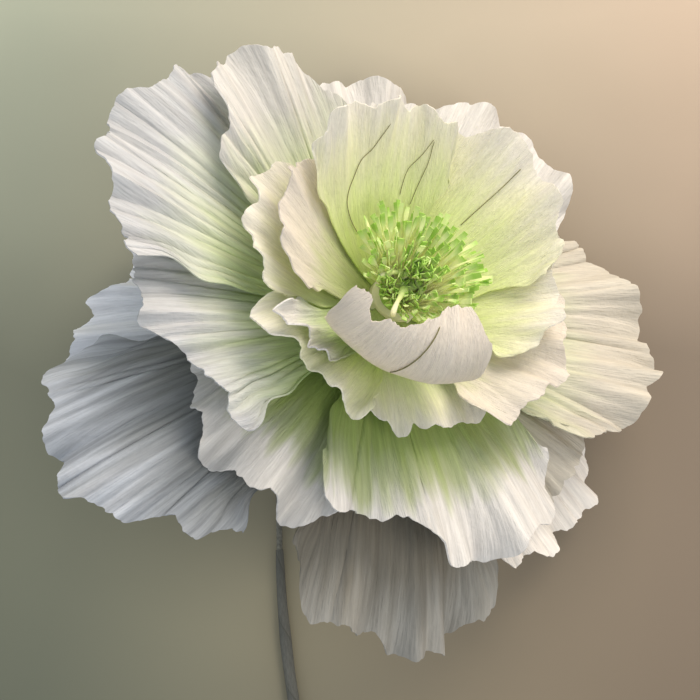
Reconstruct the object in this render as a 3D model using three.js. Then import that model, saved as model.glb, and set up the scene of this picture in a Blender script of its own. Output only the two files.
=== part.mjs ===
// Crepe paper peony that lies on a table, with a short wrapped wire stem.
// Millimetres, +Z up. The origin is on the table, under the middle of the flower's box.
import * as THREE from 'three';

// Paper
const PAPER = 0.45; // thickness of the crepe paper
const SEAT_GAP = 0.3; // clear space between touching pieces
const RUFFLE_WAVES = 3; // half waves on each half of a petal
const PETAL_COLUMNS = 16; // pleats and valleys across a petal

// Reach of each whorl's petals from the core, in millimetres along the paper
const OUTER_REACH = 72;
const MIDDLE_REACH = 60;
const INNER_REACH = 38;
const CUP_REACH = 44;

// Core that the petals are glued to
const CORE_RADIUS = 6;
const NECK_RADIUS = 3; // the thinner top, with the stamens round it
const NECK_HEIGHT = 6;
const CORE_LIP = 1; // height of the core above the first petal
const PETAL_STEP = 0.72; // height between one glued petal and the next
const FIRST_RISE = 16; // degrees, at the base of the first petal
const RISE_STEP = 1.4; // degrees, less at each next petal

// Stamens and carpels
const FRINGE_BAND = 4.2; // height of the uncut band of a fringe
const INNER_FILAMENT = 17; // length of the inner fringe's filaments
const OUTER_FILAMENT = 19;
const INNER_LIFT = 76; // degrees that the inner filaments rise
const OUTER_LIFT = 54;
const FILAMENT_TIP = 0.9; // width of the flat anther at a filament's tip
const FILAMENT_NECK = 0.4;
const CARPEL_RADIUS = 1.25;
const CARPEL_HEIGHT = 9;
const CARPELS = 3;

// Stem
const WIRE_RADIUS = 0.75;
const WRAP_RADIUS = 1.6; // outside of the paper wound round the lower stem
const WIRE_IN_CORE = 12; // length of wire that is glued into the core
const BINDING_LENGTH = 14; // tape wound round the wire under the petals
const STRAIGHT_UNDER_BINDING = 2;
const STEM_SECTION_SIDES = 8;
const STEM_STEP = 7; // length of one straight facet of the stem

// Pose of the head as it lies
const HEAD_TILT = 36; // degrees between the flower's axis and upright
const HEAD_LEAN = 49; // degrees from +X to the side that it leans to
const HEAD_X = 10.5;
const HEAD_Y = 12;

// Stem along the table, from where it comes down to its cut end
const LANDING = [-18.2, -38.7];
const WRAP_START = [-18, -50.8];
const STEM_BOW = [-17.2, -82];
const STEM_END = [-9, -118];

const PAPER_WHITE = 0xe9e6db;
const WIRE_GREY = 0x6a675d;
const WRAP_GREY = 0x5c5b55;
const LIME = 0xb5d66b;
const DARK_LIME = 0x80a33e;
const POD_GREEN = 0xc9d68c;

const radians = THREE.MathUtils.degToRad;

// Petals from the heart outwards. Angles are in degrees, and reach is a share of the whorl's reach.
// middle and tip are the rise of the paper above the flower's plane, half-way and at the rim.
// skew makes a petal longer at its anticlockwise side and shorter at the other,
// and shoulder is how much shorter its two sides are.
// ruffle is the swing of the rim in degrees and pleat the height of a pleat in millimetres.
// lobes are places across a petal where its rim reaches further or less far: [place, share, width].
const CUP = { whorl: CUP_REACH, skew: 0, shoulder: 0.26, ruffle: 8, pleat: 0.3, rows: 6, lobes: [] };
const INNER = { whorl: INNER_REACH, skew: 0, shoulder: 0.26, ruffle: 10, pleat: 0.4, rows: 5, lobes: [] };
const MIDDLE = { whorl: MIDDLE_REACH, skew: 0, shoulder: 0.26, ruffle: 9, pleat: 0.8, rows: 4, lobes: [] };
const OUTER = { whorl: OUTER_REACH, skew: 0, shoulder: 0.26, ruffle: 7, pleat: 0.7, rows: 4, lobes: [] };
const PETALS = [
  {
    ...CUP, name: 'cup_petal_1', azimuth: 250, half: 40, reach: 1.04, middle: 16, tip: 152, shoulder: 0.04,
    ruffle: 6, lobes: [[-0.15, -0.06, 0.15], [0.5, 0.14, 0.3], [-0.8, 0.06, 0.2]],
  },
  {
    ...CUP, name: 'cup_petal_2', azimuth: 107, half: 38, reach: 1, middle: 66, tip: 50,
    lobes: [[0.65, 0.09, 0.3], [-0.25, -0.07, 0.12], [1, 0.14, 0.2]],
  },
  { ...CUP, name: 'cup_petal_3', azimuth: 158, half: 32, reach: 0.84, middle: 52, tip: 34, skew: -0.05 },
  {
    ...CUP, name: 'cup_petal_4', azimuth: 44, half: 42, reach: 0.98, middle: 56, tip: 40,
    lobes: [[0.2, 0.09, 0.15], [0.5, -0.06, 0.15], [-0.5, -0.06, 0.2]],
  },
  { ...CUP, name: 'cup_petal_5', azimuth: 5, half: 38, reach: 0.8, middle: 46, tip: 30 },
  { ...INNER, name: 'inner_petal_1', azimuth: 160, half: 32, reach: 1, middle: 38, tip: 24 },
  {
    ...INNER, name: 'inner_petal_2', azimuth: 218, half: 36, reach: 0.95, middle: 32, tip: 14, shoulder: 0.2,
    ruffle: 12, lobes: [[-0.85, -0.1, 0.2], [0, -0.1, 0.2], [0.7, -0.07, 0.2]],
  },
  { ...INNER, name: 'inner_petal_3', azimuth: 338, half: 38, reach: 1, middle: 34, tip: 14 },
  {
    ...INNER, name: 'inner_petal_4', azimuth: 282, half: 44, reach: 0.71, middle: 18, tip: -6, skew: 0.05,
    shoulder: 0.2, lobes: [[-0.15, -0.12, 0.1]],
  },
  {
    ...MIDDLE, name: 'middle_petal_1', azimuth: 123, half: 27, reach: 1, middle: 34, tip: 14, shoulder: 0.3,
    lobes: [[0.3, 0.09, 0.35], [0.6, -0.13, 0.15], [-0.6, -0.14, 0.3]],
  },
  {
    ...MIDDLE, name: 'middle_petal_2', azimuth: 149, half: 31, reach: 1.17, middle: 22, tip: 2,
    lobes: [[0.9, 0.1, 0.25]],
  },
  {
    ...MIDDLE, name: 'middle_petal_3', azimuth: 57, half: 38, reach: 0.93, middle: 14, tip: 0,
    lobes: [[-0.2, 0.15, 0.3], [0.08, 0.08, 0.12]],
  },
  {
    ...MIDDLE, name: 'middle_petal_4', azimuth: 187, half: 35, reach: 0.93, middle: 14, tip: -8, skew: -0.06,
    shoulder: 0.2, lobes: [[0.35, -0.13, 0.25], [0.75, -0.1, 0.2], [1, 0.06, 0.15]],
  },
  {
    ...MIDDLE, name: 'middle_petal_5', azimuth: 284, half: 42, reach: 0.93, middle: 4, tip: -14, skew: 0.1,
    ruffle: 14, lobes: [[-0.3, -0.18, 0.35], [0.35, 0.06, 0.2]],
  },
  {
    ...MIDDLE, name: 'middle_petal_6', azimuth: 3, half: 34, reach: 1.08, middle: 4, tip: -8,
    lobes: [[0.05, 0.11, 0.3], [-0.5, 0.05, 0.2], [0.58, -0.1, 0.1]],
  },
  {
    ...MIDDLE, name: 'middle_petal_7', azimuth: 230, half: 34, reach: 0.82, middle: -4, tip: -24, shoulder: 0.2,
    ruffle: 15,
  },
  {
    ...MIDDLE, name: 'middle_petal_8', azimuth: 336, half: 33, reach: 0.97, middle: -6, tip: -22, shoulder: 0.2,
    lobes: [[-0.75, -0.2, 0.3]],
  },
  {
    ...MIDDLE, name: 'middle_petal_9', azimuth: 88, half: 34, reach: 1.05, middle: 0, tip: -8,
    lobes: [[-0.05, 0.1, 0.2], [-0.35, 0.06, 0.12], [0.3, -0.06, 0.15]],
  },
  {
    ...OUTER, name: 'outer_petal_1', azimuth: 277, half: 28, reach: 0.99, middle: -18, tip: -44, skew: 0.05,
    shoulder: 0.2, lobes: [[0.5, 0.05, 0.4], [-0.8, -0.05, 0.2]],
  },
  {
    ...OUTER, name: 'outer_petal_2', azimuth: 209, half: 28, reach: 1.04, middle: -14, tip: -36, shoulder: 0.2,
    lobes: [[-0.35, 0.06, 0.25], [0.5, -0.1, 0.15], [0.78, -0.15, 0.2]],
  },
  { ...OUTER, name: 'outer_petal_3', azimuth: 40, half: 36, reach: 0.75, middle: -16, tip: -24 },
  {
    ...OUTER, name: 'outer_petal_4', azimuth: 328, half: 24, reach: 1.05, middle: -22, tip: -34, shoulder: 0.2,
    lobes: [[-0.7, -0.2, 0.5], [-0.25, -0.05, 0.1], [0.05, 0.03, 0.15], [0.7, 0.03, 0.3]],
  },
  { ...OUTER, name: 'outer_petal_5', azimuth: 88, half: 28, reach: 0.72, middle: -24, tip: -30 },
  {
    ...OUTER, name: 'outer_petal_6', azimuth: 175, half: 20, reach: 0.94, middle: -26, tip: -42, shoulder: 0.34,
    ruffle: 5, lobes: [[-0.5, -0.1, 0.3], [0.4, -0.07, 0.3]],
  },
  { ...OUTER, name: 'outer_petal_7', azimuth: 130, half: 26, reach: 0.89, middle: -34, tip: -46 },
];
const CORE_BOTTOM = -(PETALS.length - 1) * PETAL_STEP - CORE_LIP;

function matt(colour) {
  return new THREE.MeshStandardMaterial({ color: colour, roughness: 0.9, metalness: 0 });
}

function named(name, geometry, colour) {
  const mesh = new THREE.Mesh(geometry, matt(colour));
  mesh.name = name;
  return mesh;
}

function meshFrom(name, points, triangles, colour) {
  const geometry = new THREE.BufferGeometry();
  geometry.setAttribute('position', new THREE.Float32BufferAttribute(points.flatMap((p) => p.toArray()), 3));
  geometry.setIndex(triangles);
  geometry.computeVertexNormals();
  return named(name, geometry, colour);
}

function around(radius, azimuth, height) {
  return new THREE.Vector3(radius * Math.cos(azimuth), radius * Math.sin(azimuth), height);
}

// Length of the rib at u, from -1 at one side of the petal to 1 at the other
function ribLength(u, petal, order) {
  const wave = 0.035 * Math.cos(Math.PI * 2.6 * u + order) + 0.022 * Math.cos(Math.PI * 5.3 * u + 2 * order);
  let share = 1 - petal.shoulder * Math.abs(u) ** 3.5 + petal.skew * u + wave;
  for (const [place, amount, width] of petal.lobes) share += amount * Math.exp(-(((u - place) / width) ** 2));
  return share;
}

// Rise of the paper, in radians, at share t of the petal's reach along the rib at u
function rise(t, u, petal, order) {
  const start = FIRST_RISE - RISE_STEP * order;
  const bend = start * (1 - t) ** 2 + 2 * petal.middle * t * (1 - t) + petal.tip * t ** 2;
  const ruffle = petal.ruffle * t ** 2 * Math.sin(Math.PI * RUFFLE_WAVES * u + 1.7 * order);
  return radians(bend + ruffle);
}

// Point and normal on the middle of the paper, at share v of the rib at u
function ribPlace(u, v, petal, order) {
  const steps = 16;
  const share = v * ribLength(u, petal, order);
  const step = (share * petal.reach * petal.whorl) / steps;
  let radius = CORE_RADIUS + SEAT_GAP;
  let height = -PETAL_STEP * order;
  for (let k = 0; k < steps; k += 1) {
    const slope = rise(((k + 0.5) / steps) * share, u, petal, order);
    radius += Math.cos(slope) * step;
    height += Math.sin(slope) * step;
  }
  const azimuth = radians(petal.azimuth + petal.half * u);
  const slope = rise(share, u, petal, order);
  const normal = around(-Math.sin(slope), azimuth, Math.cos(slope));
  return { point: around(radius, azimuth, height), normal };
}

function petalMesh(petal, order) {
  const columns = PETAL_COLUMNS;
  const { rows } = petal;
  const grid = [];
  for (let i = 0; i <= columns; i += 1) {
    const side = i % 2 === 0 ? 1 : -1;
    for (let j = 0; j <= rows; j += 1) {
      const { point, normal } = ribPlace((2 * i) / columns - 1, j / rows, petal, order);
      grid.push({ point: point.addScaledVector(normal, (side * petal.pleat * j) / rows), normal });
    }
  }
  const top = grid.map(({ point, normal }) => point.clone().addScaledVector(normal, PAPER / 2));
  const bottom = grid.map(({ point, normal }) => point.clone().addScaledVector(normal, -PAPER / 2));
  const at = (i, j) => i * (rows + 1) + j;
  const under = grid.length;
  const triangles = [];
  for (let i = 0; i < columns; i += 1) {
    for (let j = 0; j < rows; j += 1) {
      const [a, b, c, d] = [at(i, j), at(i + 1, j), at(i + 1, j + 1), at(i, j + 1)];
      triangles.push(a, c, b, a, d, c);
      triangles.push(under + a, under + b, under + c, under + a, under + c, under + d);
    }
  }
  const wall = (a, b) => triangles.push(a, b, under + b, a, under + b, under + a);
  for (let i = 0; i < columns; i += 1) {
    wall(at(i, 0), at(i + 1, 0));
    wall(at(i + 1, rows), at(i, rows));
  }
  for (let j = 0; j < rows; j += 1) {
    wall(at(0, j + 1), at(0, j));
    wall(at(columns, j), at(columns, j + 1));
  }
  return meshFrom(petal.name, [...top, ...bottom], triangles, PAPER_WHITE);
}

function lathe(name, profile, sides, colour) {
  const geometry = new THREE.LatheGeometry(profile.map(([r, z]) => new THREE.Vector2(r, z)), sides);
  geometry.rotateX(Math.PI / 2); // the lathe's axis is Y
  return named(name, geometry, colour);
}

function core() {
  const bore = WIRE_RADIUS + SEAT_GAP;
  const boreTop = CORE_BOTTOM + WIRE_IN_CORE + SEAT_GAP;
  return lathe('core', [
    [0, boreTop],
    [bore, boreTop],
    [bore, CORE_BOTTOM],
    [CORE_RADIUS, CORE_BOTTOM],
    [CORE_RADIUS, CORE_LIP],
    [NECK_RADIUS, CORE_LIP],
    [NECK_RADIUS, NECK_HEIGHT],
    [0, NECK_HEIGHT],
  ], 20, POD_GREEN);
}

// Tape wound round the wire, from the core's width down to the wire
function binding() {
  const bore = WIRE_RADIUS + SEAT_GAP;
  const top = CORE_BOTTOM - SEAT_GAP;
  const end = top - BINDING_LENGTH;
  return lathe('stem_binding', [
    [bore, top],
    [bore, end],
    [bore + 2 * PAPER, end],
    [CORE_RADIUS * 0.62, top - BINDING_LENGTH * 0.3],
    [CORE_RADIUS, top],
    [bore, top],
  ], 16, WRAP_GREY);
}

// Strip of paper cut to a fringe and rolled round the neck, with its filaments bent outwards
function fringe(name, { inside, count, length, lift, turn }, colour) {
  const segments = 2 * count;
  const bottom = CORE_LIP + SEAT_GAP;
  const sectionOf = (k) => [0, 1].map((edge) => (2 * Math.PI * (k + edge + turn)) / segments);
  const points = [];
  const triangles = [];
  const ring = (radius, height) => {
    const first = points.length;
    for (let k = 0; k < segments; k += 1) points.push(around(radius, sectionOf(k)[0], height));
    return (k) => first + (k % segments);
  };
  const quad = (a, b, c, d) => triangles.push(a, b, c, a, c, d);
  const innerLow = ring(inside, bottom);
  const outerLow = ring(inside + PAPER, bottom);
  const innerHigh = ring(inside, bottom + FRINGE_BAND);
  const outerHigh = ring(inside + PAPER, bottom + FRINGE_BAND);
  for (let k = 0; k < segments; k += 1) {
    quad(outerLow(k), outerLow(k + 1), outerHigh(k + 1), outerHigh(k));
    quad(innerLow(k + 1), innerLow(k), innerHigh(k), innerHigh(k + 1));
    quad(innerLow(k), innerLow(k + 1), outerLow(k + 1), outerLow(k));
    let face = [innerHigh(k), outerHigh(k), outerHigh(k + 1), innerHigh(k + 1)];
    if (k % 2 === 0) {
      const middle = (sectionOf(k)[0] + sectionOf(k)[1]) / 2;
      const wobble = Math.sin(2.4 * k);
      const slope = radians(lift + 5 * wobble);
      const reach = length * (1 + 0.08 * Math.sin(3.7 * k));
      const out = around(Math.cos(slope), middle, Math.sin(slope));
      const across = around(1, middle + Math.PI / 2, 0);
      const thick = new THREE.Vector3().crossVectors(across, out);
      const root = around(inside + PAPER / 2, middle, bottom + FRINGE_BAND);
      for (const [share, width] of [[0.75, FILAMENT_NECK], [1, FILAMENT_TIP]]) {
        const centre = root.clone().addScaledVector(out, reach * share);
        const first = points.length;
        for (const [w, t] of [[-1, 1], [-1, -1], [1, -1], [1, 1]]) {
          points.push(centre.clone().addScaledVector(across, (w * width) / 2)
            .addScaledVector(thick, (-t * PAPER) / 2));
        }
        const next = [first, first + 1, first + 2, first + 3];
        for (let s = 0; s < 4; s += 1) quad(face[s], face[(s + 1) % 4], next[(s + 1) % 4], next[s]);
        face = next;
      }
    }
    quad(...face);
  }
  return meshFrom(name, points, triangles, colour);
}

function carpel(index) {
  const pod = lathe(`carpel_${index + 1}`, [
    [0, 0],
    [CARPEL_RADIUS * 0.55, 0],
    [CARPEL_RADIUS, CARPEL_HEIGHT * 0.35],
    [CARPEL_RADIUS * 0.8, CARPEL_HEIGHT * 0.65],
    [CARPEL_RADIUS * 0.35, CARPEL_HEIGHT * 0.85],
    [CARPEL_RADIUS * 0.6, CARPEL_HEIGHT],
    [0, CARPEL_HEIGHT],
  ], 8, POD_GREEN);
  const azimuth = (2 * Math.PI * index) / CARPELS;
  const spacing = (CARPEL_RADIUS + SEAT_GAP) / Math.sin(Math.PI / CARPELS);
  pod.position.copy(around(spacing, azimuth, NECK_HEIGHT + SEAT_GAP));
  return pod;
}

function circle(radius) {
  const corners = Array.from({ length: STEM_SECTION_SIDES }, (_, k) => (2 * Math.PI * k) / STEM_SECTION_SIDES);
  return corners.map((turn) => new THREE.Vector2(radius * Math.cos(turn), radius * Math.sin(turn)));
}

function tube(name, path, outer, inner, colour) {
  const section = new THREE.Shape(circle(outer));
  if (inner > 0) section.holes.push(new THREE.Path(circle(inner)));
  const steps = Math.ceil(path.getLength() / STEM_STEP);
  return named(name, new THREE.ExtrudeGeometry(section, { steps, extrudePath: path, bevelEnabled: false }), colour);
}

const head = new THREE.Group();
PETALS.forEach((petal, order) => head.add(petalMesh(petal, order)));
head.add(core(), binding());
const innerRoll = NECK_RADIUS + SEAT_GAP;
const outerRoll = innerRoll + PAPER + SEAT_GAP;
const innerFringe = { inside: innerRoll, count: 14, length: INNER_FILAMENT, lift: INNER_LIFT, turn: 0 };
const outerFringe = { inside: outerRoll, count: 22, length: OUTER_FILAMENT, lift: OUTER_LIFT, turn: 0.5 };
head.add(fringe('stamen_fringe_inner', innerFringe, LIME));
head.add(fringe('stamen_fringe_outer', outerFringe, DARK_LIME));
for (let index = 0; index < CARPELS; index += 1) head.add(carpel(index));

const leanSide = around(1, radians(HEAD_LEAN), 0);
const tiltAxis = around(1, radians(HEAD_LEAN + 90), 0);
head.quaternion.setFromAxisAngle(tiltAxis, radians(HEAD_TILT));
head.updateMatrixWorld(true);
const lowest = new THREE.Box3().setFromObject(head, true).min.z;
head.position.set(HEAD_X, HEAD_Y, -lowest);
head.updateMatrixWorld(true);

// The wire leaves the core straight, bends down to the table and runs along it to its cut end
const onTable = ([x, y]) => new THREE.Vector3(x, y, WRAP_RADIUS);
const wireTop = head.localToWorld(new THREE.Vector3(0, 0, CORE_BOTTOM + WIRE_IN_CORE));
const bendHeight = CORE_BOTTOM - SEAT_GAP - BINDING_LENGTH - STRAIGHT_UNDER_BINDING;
const bendStart = head.localToWorld(new THREE.Vector3(0, 0, bendHeight));
const axisDown = bendStart.clone().sub(wireTop).normalize();
const landing = onTable(LANDING);
const wrapStart = onTable(WRAP_START);
const intoWrap = wrapStart.clone().sub(landing);
const wrapped = new THREE.QuadraticBezierCurve3(wrapStart, onTable(STEM_BOW), onTable(STEM_END));
const wirePath = new THREE.CurvePath();
wirePath.add(new THREE.LineCurve3(wireTop, bendStart));
wirePath.add(new THREE.CubicBezierCurve3(
  bendStart,
  bendStart.clone().addScaledVector(axisDown, 14),
  landing.clone().addScaledVector(intoWrap, -1.6),
  landing,
));
wirePath.add(new THREE.LineCurve3(landing, wrapStart));
wirePath.add(wrapped);

const stem = new THREE.Group();
stem.add(tube('stem_wire', wirePath, WIRE_RADIUS, 0, WIRE_GREY));
stem.add(tube('stem_wrap', wrapped, WRAP_RADIUS, WIRE_RADIUS + SEAT_GAP, WRAP_GREY));

const peony = new THREE.Group();
peony.add(head, stem);
peony.updateMatrixWorld(true);
const box = new THREE.Box3().setFromObject(peony, true);
const middle = box.getCenter(new THREE.Vector3());
peony.position.set(-middle.x, -middle.y, -box.min.z);
peony.updateMatrixWorld(true);

export default peony;
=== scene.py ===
"""Crepe paper peony: pleated petals, green stamen fringe and wrapped stem, built round the fixed frame."""

import math
import random

import bpy
import numpy as np
from bpy.props import FloatProperty, FloatVectorProperty, IntProperty, PointerProperty
from bpy.types import Operator, Panel, PropertyGroup, Scene
from mathutils import Matrix, Vector


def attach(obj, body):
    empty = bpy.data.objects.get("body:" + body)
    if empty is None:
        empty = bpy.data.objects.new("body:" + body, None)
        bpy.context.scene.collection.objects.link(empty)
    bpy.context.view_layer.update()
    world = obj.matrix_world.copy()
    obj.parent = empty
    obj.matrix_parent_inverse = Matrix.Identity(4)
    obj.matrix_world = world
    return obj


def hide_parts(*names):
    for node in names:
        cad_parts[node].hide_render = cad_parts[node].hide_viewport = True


bl_info = {
    "name": "Crepe Paper Peony",
    "version": (1, 0, 0),
    "blender": (4, 5, 0),
    "location": "3D View > Sidebar > Peony",
    "description": "Builds a peony of pleated crepe paper round its fixed frame",
    "category": "Add Mesh",
}

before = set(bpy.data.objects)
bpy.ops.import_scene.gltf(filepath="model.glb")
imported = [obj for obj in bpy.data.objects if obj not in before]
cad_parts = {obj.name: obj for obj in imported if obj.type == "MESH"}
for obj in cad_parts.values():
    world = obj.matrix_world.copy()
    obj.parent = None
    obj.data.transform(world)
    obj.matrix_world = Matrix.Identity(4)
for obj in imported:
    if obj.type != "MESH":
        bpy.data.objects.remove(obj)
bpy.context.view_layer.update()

MM = 0.001

# Sizes shared with the frame, in millimetres and degrees
SEAT_GAP = 0.3
CORE_RADIUS = 6.0
NECK_RADIUS = 3.0
NECK_HEIGHT = 6.0
PETAL_STEP = 0.72
FIRST_RISE = 16.0
RISE_STEP = 1.4
HEAD_TILT = 36.0
HEAD_LEAN = 49.0
HEAD_X = 10.5
HEAD_Y = 12.0
CORE_LIP = 1.0
PAPER = 0.45
FRINGE_BAND = 4.2
CARPELS = 3
CARPEL_RADIUS = 1.25
WIRE_RADIUS = 0.75
WRAP_RADIUS = 1.6
BINDING_LENGTH = 14.0
STRAIGHT_UNDER_BINDING = 2.0
LANDING = (-18.2, -38.7)
WRAP_START = (-18.0, -50.8)
STEM_BOW = (-17.2, -82.0)
STEM_END = (-9.0, -118.0)

# The side of the cup that is open, where the pods lean out and the filaments are short, in degrees
OPEN_SIDE = 228.0
SHORTER_IN_FRONT = 0.55
POD_HEIGHT = 5.5
THREAD_CLEARANCE = 0.35

# Points closer than this, in millimetres, are joined, and edges flatter than this, in degrees, look smooth
WELD = 0.004
SMOOTH_ANGLE = 50.0

# How rough paper is and how much it shines, and the range that most of a noise lies in
PAPER_ROUGHNESS = 0.85
PAPER_SHINE = 0.25
NOISE_LOW = 0.3
NOISE_HIGH = 0.7

# The stage, in metres: places of the lamps are given from the point that the camera looks at
TABLE_SIDE = 3.0
AIM_HEIGHT = 0.05
KEY_PLACE = (0.42, 0.88, 0.55)
KEY_SIDE = 0.7
FILL_PLACE = (0.75, -0.3, 1.0)
FILL_SIDE = 0.6
FILL_SHARE = 0.28
SKY_STRENGTH = 0.88


class Petal:
    """One petal's place and form, with angles in degrees and lengths in millimetres.

    azimuth and half say where it stands round the core and how far it spreads to each side.
    length, middle and tip are its length and its rise half way along and at its rim.
    skew and shoulder are shares of its length that one side gains and that both sides lose.
    paper is the kind of crepe, and pleats is how many pleats it has across, folded to the height fold.
    ruffle is how far its rim waves up and down, and fingers is the share that its rim sticks out in fingers.
    lobes are places across it where its rim reaches further or less far: (place, share, width).
    """

    def __init__(self, name, azimuth, half, length, middle, tip, skew, shoulder, paper, pleats, fold, ruffle,
                 fingers, lobes=()):
        self.name = name
        self.azimuth = azimuth
        self.half = half
        self.length = length
        self.middle = middle
        self.tip = tip
        self.skew = skew
        self.shoulder = shoulder
        self.paper = paper
        self.pleats = pleats
        self.fold = fold
        self.ruffle = ruffle
        self.fingers = fingers
        self.lobes = lobes


PETALS = [
    Petal("cup_petal_1", 250, 40, 45.8, 16, 152, 0, 0.04, "flap_painted_shade", 7, 0.12, 3, 0.003,
          ((-0.25, -0.05, 0.3), (-0.65, -0.1, 0.2), (0.5, 0.19, 0.28), (-0.2, 0.035, 0.1),
           (-0.02, -0.02, 0.08), (0.24, 0.05, 0.1))),
    Petal("cup_petal_2", 107, 38, 44, 66, 50, 0, 0.26, "heart", 8, 0.3, 8, 0.012,
          ((0.65, 0.09, 0.3), (-0.25, -0.07, 0.12), (1.0, 0.14, 0.2))),
    Petal("cup_petal_3", 158, 32, 37, 52, 34, -0.05, 0.26, "flap_painted_shade", 6, 0.4, 6, 0.006),
    Petal("cup_petal_4", 44, 42, 43, 56, 40, 0, 0.26, "heart", 9, 0.3, 8, 0.012,
          ((0.2, 0.09, 0.15), (0.5, -0.06, 0.15), (-0.5, -0.06, 0.2))),
    Petal("cup_petal_5", 5, 38, 35, 46, 30, 0, 0.26, "heart", 9, 0.35, 9, 0.016),
    Petal("inner_petal_1", 160, 32, 38, 38, 24, 0, 0.26, "heart", 7, 0.4, 5, 0.006, ((-0.25, 0.11, 0.2),)),
    Petal("inner_petal_2", 218, 36, 36, 32, 14, 0, 0.2, "heart", 7, 0.5, 17, 0.016,
          ((-0.85, -0.08, 0.2), (-0.45, 0.04, 0.12), (0.05, -0.26, 0.3), (0.7, -0.1, 0.15))),
    Petal("inner_petal_3", 338, 38, 38, 34, 14, 0, 0.26, "flap_painted_shade", 9, 0.4, 10, 0.016),
    Petal("inner_petal_4", 282, 44, 27, 18, -6, 0.05, 0.2, "heart", 8, 0.35, 9, 0.02,
          ((-0.15, -0.12, 0.06),)),
    Petal("middle_petal_1", 123, 27, 60, 34, 14, 0, 0.3, "green_foot", 13, 1.2, 7, 0.012,
          ((0.3, 0.09, 0.35), (0.6, -0.1, 0.15), (-0.6, -0.1, 0.3), (-0.05, 0.05, 0.2), (0.4, -0.05, 0.08),
           (-0.3, -0.03, 0.06), (-1.0, -0.1, 0.25))),
    Petal("middle_petal_2", 149, 31, 70, 22, 2, 0, 0.26, "grey_painted_shade", 19, 1.8, 7, 0.02,
          ((0.9, 0.1, 0.25), (-1.0, -0.12, 0.2), (-0.05, 0.08, 0.22), (-0.42, -0.06, 0.1),
           (0.75, -0.07, 0.1))),
    Petal("middle_petal_3", 57, 38, 56, 14, 0, 0, 0.26, "green_foot", 14, 0.9, 8, 0.02,
          ((-0.2, 0.15, 0.3), (0.0, 0.06, 0.1), (0.2, -0.03, 0.1))),
    Petal("middle_petal_4", 187, 35, 55.8, 14, -8, -0.06, 0.2, "grey_painted_shade", 17, 1.8, 9, 0.03,
          ((0.35, -0.13, 0.25), (0.75, -0.1, 0.2), (1.0, 0.06, 0.15))),
    Petal("middle_petal_5", 284, 42, 56, 4, -14, 0.1, 0.26, "green_painted_shade", 14, 0.9, 14, 0.03,
          ((-0.3, -0.14, 0.35), (0.2, 0.05, 0.25), (0.75, -0.04, 0.2))),
    Petal("middle_petal_6", 3, 34, 65, 4, -8, 0, 0.26, "cream_painted_light", 17, 1.4, 8, 0.05,
          ((0.05, 0.11, 0.3), (-0.5, 0.05, 0.2), (0.58, -0.08, 0.08), (-1.0, -0.1, 0.2))),
    Petal("middle_petal_7", 230, 34, 49, -4, -24, 0, 0.2, "green_painted_shade", 10, 0.7, 15, 0.04),
    Petal("middle_petal_8", 336, 33, 58, -6, -22, 0, 0.2, "cream_painted_light", 16, 1.3, 9, 0.05, ((-0.75, -0.2, 0.3),)),
    Petal("middle_petal_9", 88, 34, 63, 0, -8, 0, 0.26, "green_foot", 13, 1.0, 9, 0.03,
          ((-0.05, 0.1, 0.2), (-0.35, 0.06, 0.12), (0.3, -0.06, 0.15))),
    Petal("outer_petal_1", 277, 28, 71, -18, -44, 0.05, 0.2, "warm_painted_shade", 16, 0.55, 7, 0.012,
          ((0.45, 0.08, 0.3), (0.12, -0.03, 0.06), (-0.8, -0.05, 0.2))),
    Petal("outer_petal_2", 209, 28, 75, -14, -36, 0, 0.2, "dark_painted_shade", 23, 0.8, 8, 0.012,
          ((-0.35, 0.06, 0.25), (0.5, -0.1, 0.15), (0.78, -0.15, 0.2))),
    Petal("outer_petal_3", 40, 36, 54, -16, -24, 0, 0.26, "cool_white", 14, 1.0, 8, 0.03),
    Petal("outer_petal_4", 328, 24, 76, -22, -34, 0, 0.2, "warm_white_painted_light", 14, 0.8, 5, 0.008,
          ((-0.3, -0.13, 0.35), (-0.9, -0.1, 0.3), (0.5, -0.05, 0.1), (0.8, 0.08, 0.2))),
    Petal("outer_petal_5", 88, 28, 52, -24, -30, 0, 0.26, "cool_white", 11, 0.8, 7, 0.03),
    Petal("outer_petal_6", 175, 20, 68, -26, -42, 0, 0.34, "cool_white", 9, 0.6, 5, 0.008,
          ((-0.5, -0.1, 0.3), (0.4, -0.07, 0.3))),
    Petal("outer_petal_7", 130, 26, 64, -34, -46, 0, 0.26, "cool_white", 12, 0.8, 7, 0.03),
]
ORDER = {petal.name: order for order, petal in enumerate(PETALS)}
# A forked offcut of paper, glued in between the two inner petals at the left
OFFCUT = Petal("forked_offcut", 212, 18, 34, 34, 42, 0, 0.2, "green_foot", 2, 0.25, 9, 0.0,
               ((-0.6, 0.1, 0.3), (0.05, -0.24, 0.2), (0.45, -0.08, 0.2), (1.0, -0.35, 0.3)))
ORDER["forked_offcut"] = (ORDER["inner_petal_1"] + ORDER["inner_petal_2"]) / 2

# Each thread: its petal, its places (across, along) on it, its radius in millimetres, and the face that it
# lies on, which is 1 for the inner face and -1 for the outer face
THREADS = (
    ("cup_petal_2", ((-0.04, 0.86), (0.19, 0.72), (0.56, 0.51), (0.63, 0.37), (0.47, 0.2)), 0.09, 1),
    ("cup_petal_2", ((-0.63, 0.87), (-0.53, 0.7), (-0.43, 0.6), (-0.4, 0.42)), 0.08, 1),
    ("cup_petal_2", ((-0.64, 0.86), (-0.66, 0.7), (-0.64, 0.55), (-0.6, 0.4)), 0.08, 1),
    ("cup_petal_4", ((0.04, 0.91), (0.05, 0.74), (0.08, 0.56), (0.11, 0.42)), 0.1, 1),
    ("cup_petal_1", ((0.19, 0.94), (0.15, 0.86), (0.08, 0.76), (0.0, 0.67), (-0.06, 0.6)), 0.15, -1),
)


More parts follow.
